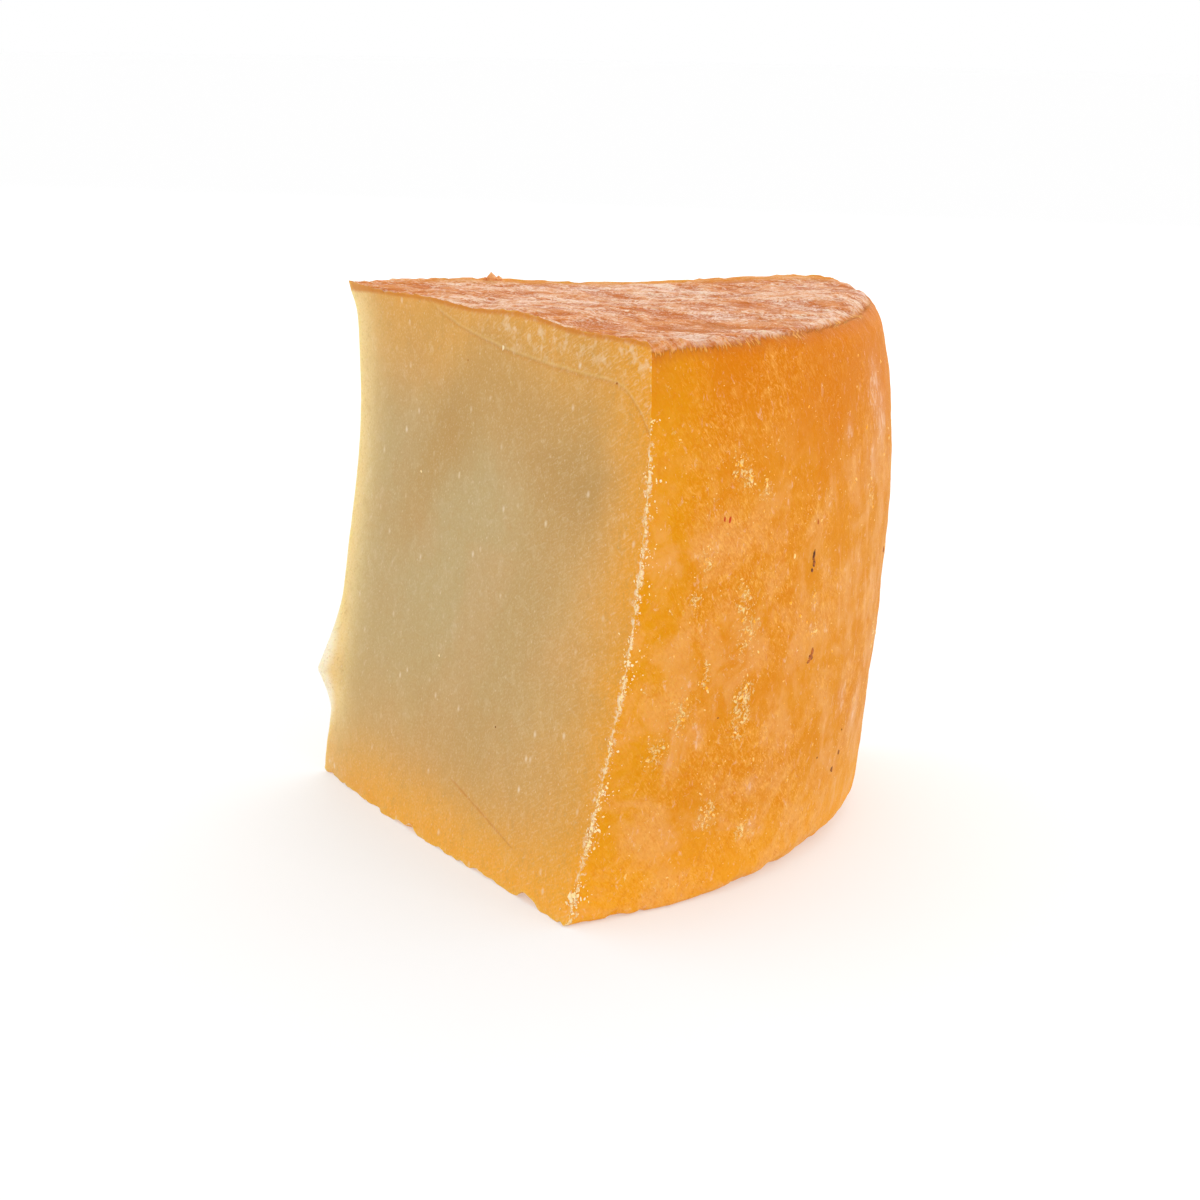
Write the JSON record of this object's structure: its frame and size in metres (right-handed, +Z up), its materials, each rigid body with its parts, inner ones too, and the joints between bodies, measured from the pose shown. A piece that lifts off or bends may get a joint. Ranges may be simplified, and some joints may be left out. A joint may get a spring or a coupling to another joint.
{
  "type": "cheese wedge",
  "caption": "Thick wedge of smoked pressed cheese with an orange rind, cut from a tall barrel-sided wheel and standing on its flat underside.",
  "frame": {"origin": "middle of the bounding box's footprint, on the surface that the wedge stands on", "axes": "+Z up, along the axis of the wheel; +X from the pointed tip edge towards the middle of the rind; +Y towards the upright cut, so that the leaning cut faces -Y"},
  "size_m": [0.1006, 0.1156, 0.0909],
  "materials": {
    "cheese": "satin"
  },
  "bodies": {
    "root": {"cheese_wedge": "cheese"}
  },
  "joints": []
}
